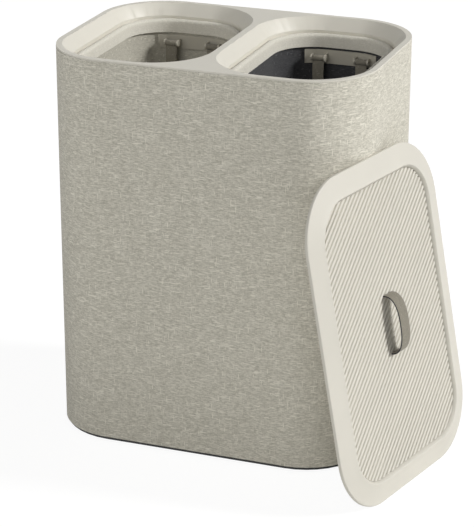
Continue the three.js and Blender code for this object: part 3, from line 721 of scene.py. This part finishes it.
class HAMPER_OT_bag_handles(bpy.types.Operator):
    """Webbing loops on the pins of the bags' brackets"""

    bl_idname = "hamper.bag_handles"
    bl_label = "Bag handles"

    def execute(self, context):
        for joint in frame["joints"]:
            if joint["type"] != "hinge":
                continue
            node = frame["record"]["behaviour"]["bodies"][joint["child"]][0]
            self.make_loop(context.scene.hamper_sizes, node, Vector(joint["pos_m"]), joint["child"])
        return {"FINISHED"}

    def make_loop(self, sizes, node, pin, body):
        """Draws one leg down from its eye, the bend and the other leg, and then both eyes"""
        low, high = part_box(node)
        width = sizes.loop_width
        offset = (high.x - low.x - width) / 2
        leg = pin.z - low.z - offset - width / 2
        bore = sizes.eye_radius - sizes.eye_wall
        first = 4 * MM
        loop = start_plane(f"{node}_webbing", width, first)
        start = Vector((pin.x - offset, pin.y, pin.z - bore - first / 2))
        mesh = bmesh.from_edit_mesh(loop.data)
        for vertex in mesh.verts:
            vertex.co = start + Vector((vertex.co.x, 0, vertex.co.y))
        bmesh.update_edit_mesh(loop.data)
        select_edges(loop, lambda edge: all(vertex.co.z < start.z for vertex in edge.verts))
        extrude_edges(0, 0, bore + first - leg)
        bpy.ops.mesh.spin(
            steps=BEND_STEPS, angle=math.pi, center=(pin.x, pin.y, pin.z - leg), axis=(0, 1, 0),
        )
        extrude_edges(0, 0, leg - bore)
        face_outwards(loop)
        apply_modifier(loop, "SOLIDIFY", thickness=sizes.loop_thickness, offset=0)
        for side in (-1, 1):
            join_into(loop, self.make_eye(sizes, pin + Vector((side * offset, 0, 0))))
        apply_modifier(loop, "BEVEL", width=sizes.webbing_round, segments=2, limit_method="ANGLE")
        smooth(loop, 45)
        lay_webbing_threads(loop, along=2)
        settle(loop, body, bpy.data.materials["taupe_webbing_weave"], "taupe_webbing", node)

    def make_eye(self, sizes, place):
        """One turn of webbing round a pin"""
        bpy.ops.object.select_all(action="DESELECT")
        bpy.ops.mesh.primitive_cylinder_add(
            vertices=EYE_SIDES, radius=sizes.eye_radius, depth=sizes.loop_width, enter_editmode=True,
            location=(0, 0, 0),
        )
        eye = bpy.context.active_object
        select_faces(eye, lambda at, normal: abs(normal.z) > LEVEL)
        bpy.ops.mesh.inset(thickness=sizes.eye_wall, depth=0)
        bpy.ops.mesh.bridge_edge_loops()
        leave_edit()
        eye.rotation_euler.y = math.pi / 2
        eye.location = place
        bpy.ops.object.transform_apply(location=True, rotation=True, scale=True)
        return eye


def lid_matrix():
    """The lid's place: X across it, Y up its long side and Z out of its face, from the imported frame"""
    slide = next(joint for joint in frame["joints"] if joint["child"] == "lid")
    out = Vector(slide["axis"]).normalized()
    across = Vector((0, 0, 1)).cross(out).normalized()
    along = out.cross(across)
    points = [vertex.co for vertex in frame["nodes"]["lid_frame"].data.vertices]
    middle = [
        (min(p.dot(axis) for p in points) + max(p.dot(axis) for p in points)) / 2
        for axis in (across, along)
    ]
    face = max(p.dot(out) for p in points)
    centre = across * middle[0] + along * middle[1] + out * face
    turn = Matrix((across, along, out)).transposed().to_4x4()
    return Matrix.Translation(centre) @ turn


def lid_size(index):
    """Extent of the lid's frame along one of its own axes"""
    axis = lid_matrix().to_3x3().col[index]
    reach = [vertex.co.dot(axis) for vertex in frame["nodes"]["lid_frame"].data.vertices]
    return max(reach) - min(reach)


def lean(piece):
    """Moves a piece that was built flat into the lid's place"""
    only(piece)
    piece.matrix_world = lid_matrix()
    bpy.ops.object.transform_apply(location=True, rotation=True, scale=True)


class HAMPER_OT_lid(bpy.types.Operator):
    """Lid's moulded frame and ribbed panel"""

    bl_idname = "hamper.lid"
    bl_label = "Lid"

    def execute(self, context):
        sizes = context.scene.hamper_sizes
        cream = bpy.data.materials["shaded_lid_polypropylene"]
        breadth, length, thickness = (lid_size(index) for index in range(3))
        self.make_frame(sizes, breadth, length, thickness, cream)
        self.make_ribs(sizes, breadth, length, cream)
        return {"FINISHED"}

    def make_frame(self, sizes, breadth, length, thickness, cream):
        """Draws the outer edge, the slope, the crest in shares of its width, and the recess's wall"""
        rim = start_sheet("lid_moulded_frame", breadth, length, sizes.lid_corner, -thickness)
        edge = sizes.lid_edge
        crest = sizes.lid_crest
        draw_section([(0, thickness - sizes.lid_slope - edge)])
        draw_section(quarter(edge))
        draw_section([((sizes.lid_rim - edge - crest) / 3, (sizes.lid_slope - 0.25 * crest) / 3)] * 3)
        draw_section([
            (0.5 * crest, 0.2 * crest),
            (0.5 * crest, 0),
            (0.4 * crest, -0.25 * crest),
            (sizes.lid_recess_run - 0.4 * crest, 0.2 * crest - sizes.lid_recess),
            (0, -sizes.rib_height - sizes.rib_plate),
            (sizes.lid_foot, 0),
        ])
        select_faces(rim, lambda at, normal: at.xy.length < MIDDLE and abs(normal.z) > LEVEL)
        drop_selected_faces()
        apply_modifier(rim, "SOLIDIFY", thickness=sizes.lid_wall, offset=-1, use_even_offset=True)
        smooth(rim, 40)
        lean(rim)
        settle(rim, "lid", cream, "cream_plastic", "lid_frame")

    def make_ribs(self, sizes, breadth, length, cream):
        """Draws one rib, repeats it, turns the row, trims it to the panel's outline and adds the plate"""
        inset = sizes.lid_rim + sizes.lid_recess_run + sizes.rib_gap
        outline = (breadth - 2 * inset, length - 2 * inset, sizes.lid_corner - inset)
        floor = -sizes.lid_recess - sizes.rib_height
        pitch = sizes.rib_pitch
        foot = 0.72 * pitch
        crest_share = 0.67
        rounding = pitch / 10
        reach = math.hypot(breadth, length) - inset
        count = int(reach / pitch) + 1
        ribs = start_plane("lid_ribs", foot, reach)
        bpy.ops.transform.translate(value=(-count * pitch / 2, 0, floor))
        bpy.ops.mesh.extrude_region_move(TRANSFORM_OT_translate={"value": (0, 0, sizes.rib_height)})
        bpy.ops.transform.resize(value=(crest_share, 1, 1))
        middle = floor + sizes.rib_height / 2
        select_edges(ribs, lambda edge: edge.calc_length() > reach / 2 and edge.verts[0].co.z > middle)
        bpy.ops.mesh.bevel(offset=rounding, segments=3, affect="EDGES", clamp_overlap=True)
        apply_modifier(
            ribs, "ARRAY", count=count, use_relative_offset=False, use_constant_offset=True,
            constant_offset_displace=(pitch, 0, 0),
        )
        ribs.rotation_euler.z = sizes.rib_angle - math.pi / 2
        bpy.ops.object.transform_apply(location=True, rotation=True, scale=True)
        blank = start_sheet("rib_outline", *outline, -CLEAR, segments=24)
        draw_section([(0, 2 * CLEAR)])
        combine(ribs, "INTERSECT", blank)
        smooth(ribs, 50)
        plate = start_sheet("lid_rib_floor", *outline, floor - sizes.rib_plate, segments=24)
        draw_section([(0, sizes.rib_plate)])
        join_into(ribs, plate)
        lean(ribs)
        settle(ribs, "lid", cream, "cream_plastic", "lid_rib_panel")


class HAMPER_OT_lid_strap(bpy.types.Operator):
    """Webbing strap that arches over the lid's panel"""

    bl_idname = "hamper.lid_strap"
    bl_label = "Lid strap"

    def execute(self, context):
        sizes = context.scene.hamper_sizes
        points = self.arch(sizes)
        width = sizes.strap_width
        strap = start_plane("lid_webbing_strap", width, width)
        select_edges(strap, lambda edge: any(vertex.co.y > 0 for vertex in edge.verts))
        bpy.ops.mesh.delete(type="EDGE")
        bpy.ops.mesh.select_all(action="SELECT")
        bpy.ops.mesh.subdivide(number_cuts=3)
        bpy.ops.mesh.select_all(action="SELECT")
        bpy.ops.transform.translate(value=(0, width / 2 + points[0][0], points[0][1]))
        for (from_y, from_z), (to_y, to_z) in zip(points, points[1:]):
            extrude_edges(0, to_y - from_y, to_z - from_z)
        face_outwards(strap)
        apply_modifier(strap, "SOLIDIFY", thickness=sizes.strap_thickness, offset=-1)
        apply_modifier(strap, "BEVEL", width=sizes.webbing_round, segments=2, limit_method="ANGLE")
        smooth(strap, 45)
        lay_webbing_threads(strap, along=1)
        lean(strap)
        webbing = bpy.data.materials["dark_edged_webbing_weave"]
        settle(strap, "lid", webbing, "taupe_webbing", "lid_handle_strap")
        return {"FINISHED"}

    def arch(self, sizes):
        """The strap's line: half a superellipse, fuller than a round arch, between two upright tails"""
        panel = -sizes.lid_recess
        half = sizes.strap_span / 2
        power = 2.5
        share = 2 / power
        points = [(-half, panel - sizes.strap_tail)]
        for step in range(STRAP_STEPS + 1):
            angle = math.pi * (1 - step / STRAP_STEPS)
            across = math.copysign(abs(math.cos(angle)) ** share, math.cos(angle))
            points.append((half * across, panel + sizes.strap_rise * abs(math.sin(angle)) ** share))
        points.append((half, panel - sizes.strap_tail))
        return points


class HAMPER_OT_finishes(bpy.types.Operator):
    """Moulded and webbing finishes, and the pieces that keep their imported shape"""

    bl_idname = "hamper.finishes"
    bl_label = "Finishes"

    def execute(self, context):
        colours = context.scene.hamper_colours
        moulded_surface("cream_polypropylene", colours.cream)
        # The lid is the tray's plastic drawn a little darker, as painted shade
        moulded_surface("shaded_lid_polypropylene", colours.shaded_lid_cream)
        moulded_surface("black_polypropylene", colours.black, roughness=0.6)
        moulded_surface("black_rubber", colours.rubber, roughness=0.8, grain=1.2 * MM, relief=0.2)
        moulded_surface(
            "grey_board", colours.board, roughness=0.85, grain=2 * MM, drift=0.18, relief=0.25,
        )
        moulded_surface("stone_polypropylene", colours.fittings)
        # The lid's strap gets a dark strip of this width along both its edges
        dark_edge_width = 0.3 * MM
        edge_at = context.scene.hamper_sizes.strap_width / 2 - dark_edge_width
        for name, edge in (("taupe_webbing_weave", None), ("dark_edged_webbing_weave", edge_at)):
            woven_cloth(
                name, colours, "webbing", thread=0.7 * MM, run=2 * MM, slub_length=2 * MM,
                slub_share=0.01, warp_share=0.8, edge_at=edge,
            )
        finishes = {
            "foot_rubber": "black_rubber",
            "black_plastic": "black_polypropylene",
            "wall_board": "grey_board",
            "cream_plastic": "cream_polypropylene",
            "hoop_plastic": "stone_polypropylene",
        }
        for part in frame["record"]["subparts"]:
            finish = finishes.get(part["material_slot"])
            if finish:
                # Lid nodes take the darker cream, which is painted shade
                if part["node"].startswith("lid_") and finish == "cream_polypropylene":
                    finish = "shaded_lid_polypropylene"
                node = frame["nodes"][part["node"]]
                node.data.materials.clear()
                node.data.materials.append(bpy.data.materials[finish])
        return {"FINISHED"}


class HAMPER_OT_stage(bpy.types.Operator):
    """Pale floor, soft lights and the camera"""

    bl_idname = "hamper.stage"
    bl_label = "Stage"

    def execute(self, context):
        stage = context.scene.hamper_stage
        self.make_camera(context.scene, stage)
        self.make_floor(stage)
        self.make_lights(context.scene, stage)
        self.make_world(context.scene, stage)
        context.scene.view_settings.view_transform = "Standard"
        return {"FINISHED"}

    def make_camera(self, scene, stage):
        az, el, roll = stage.azimuth, stage.elevation, stage.roll
        back = Vector((math.sin(az) * math.cos(el), -math.cos(az) * math.cos(el), math.sin(el)))
        level = Vector((math.cos(az), math.sin(az), 0))
        upward = back.cross(level)
        right = level * math.cos(roll) + upward * math.sin(roll)
        up = upward * math.cos(roll) - level * math.sin(roll)
        data = bpy.data.cameras.new("camera")
        data.lens = stage.lens
        data.shift_x, data.shift_y = stage.shift
        data.clip_end = stage.far_clip
        camera = bpy.data.objects.new("camera", data)
        scene.collection.objects.link(camera)
        turn = Matrix((right, up, back)).transposed().to_4x4()
        camera.matrix_world = Matrix.Translation(Vector(stage.target) + back * stage.distance) @ turn
        scene.camera = camera

    def make_floor(self, stage):
        """A floor that glows white for the camera, and is plain paint for the light that falls on it"""
        leave_edit()
        bpy.ops.object.select_all(action="DESELECT")
        bpy.ops.mesh.primitive_plane_add(size=stage.floor_size, location=(0, 0, -stage.floor_gap))
        floor = bpy.context.active_object
        floor.name = "floor"
        material = new_material("white_floor")
        share = calculate(material, "MULTIPLY", seen_directly(material), stage.floor_share)
        paint = add_node(material, "ShaderNodeBsdfDiffuse", {"Color": linear(stage.floor_colour)})
        glow = add_node(material, "ShaderNodeEmission", {
            "Color": (1, 1, 1, 1), "Strength": stage.floor_glow,
        })
        mixed = add_node(material, "ShaderNodeMixShader", {
            0: share, 1: paint.outputs[0], 2: glow.outputs[0],
        })
        add_node(material, "ShaderNodeOutputMaterial", {"Surface": mixed.outputs[0]})
        floor.data.materials.append(material)

    def make_lights(self, scene, stage):
        lights = (
            ("key", stage.key_strength, stage.key_angle, stage.key_from),
            ("fill", stage.fill_strength, stage.fill_angle, stage.fill_from),
        )
        for name, strength, angle, source in lights:
            data = bpy.data.lights.new(name, "SUN")
            data.energy = strength
            data.angle = angle
            light = bpy.data.objects.new(name, data)
            scene.collection.objects.link(light)
            light.rotation_mode = "QUATERNION"
            light.rotation_quaternion = Vector(source).to_track_quat("Z", "Y")

    def make_world(self, scene, stage):
        """White where the camera sees it, and faint as a light"""
        world = bpy.data.worlds.new("studio")
        world.use_nodes = True
        world.node_tree.nodes.clear()
        strength = remap(world, seen_directly(world), 0, 1, stage.ambient, 1.0)
        glow = add_node(world, "ShaderNodeBackground", {"Color": (1, 1, 1, 1), "Strength": strength})
        add_node(world, "ShaderNodeOutputWorld", {"Surface": glow.outputs[0]})
        scene.world = world


class HAMPER_PT_sidebar(bpy.types.Panel):
    """Lists the steps that build the hamper"""

    bl_label = "Laundry hamper"
    bl_idname = "HAMPER_PT_sidebar"
    bl_space_type = "VIEW_3D"
    bl_region_type = "UI"
    bl_category = "Hamper"

    def draw(self, context):
        for operator in OPERATORS:
            self.layout.operator(operator.bl_idname)


GROUPS = {"hamper_sizes": HamperSizes, "hamper_colours": HamperColours, "hamper_stage": HamperStage}
OPERATORS = (
    HAMPER_OT_stage,
    HAMPER_OT_finishes,
    HAMPER_OT_cover,
    HAMPER_OT_rim_tray,
    HAMPER_OT_bags,
    HAMPER_OT_bag_handles,
    HAMPER_OT_lid,
    HAMPER_OT_lid_strap,
)


def register():
    for kind in (*GROUPS.values(), *OPERATORS, HAMPER_PT_sidebar):
        bpy.utils.register_class(kind)
    for name, group in GROUPS.items():
        setattr(bpy.types.Scene, name, bpy.props.PointerProperty(type=group))


def unregister():
    for name in GROUPS:
        delattr(bpy.types.Scene, name)
    for kind in (HAMPER_PT_sidebar, *reversed(OPERATORS), *GROUPS.values()):
        bpy.utils.unregister_class(kind)


def main():
    register()
    bpy.ops.hamper.stage()
    bpy.ops.hamper.finishes()
    bpy.ops.hamper.cover()
    bpy.ops.hamper.rim_tray()
    bpy.ops.hamper.bags()
    bpy.ops.hamper.bag_handles()
    bpy.ops.hamper.lid()
    bpy.ops.hamper.lid_strap()


if __name__ == "__main__":
    main()
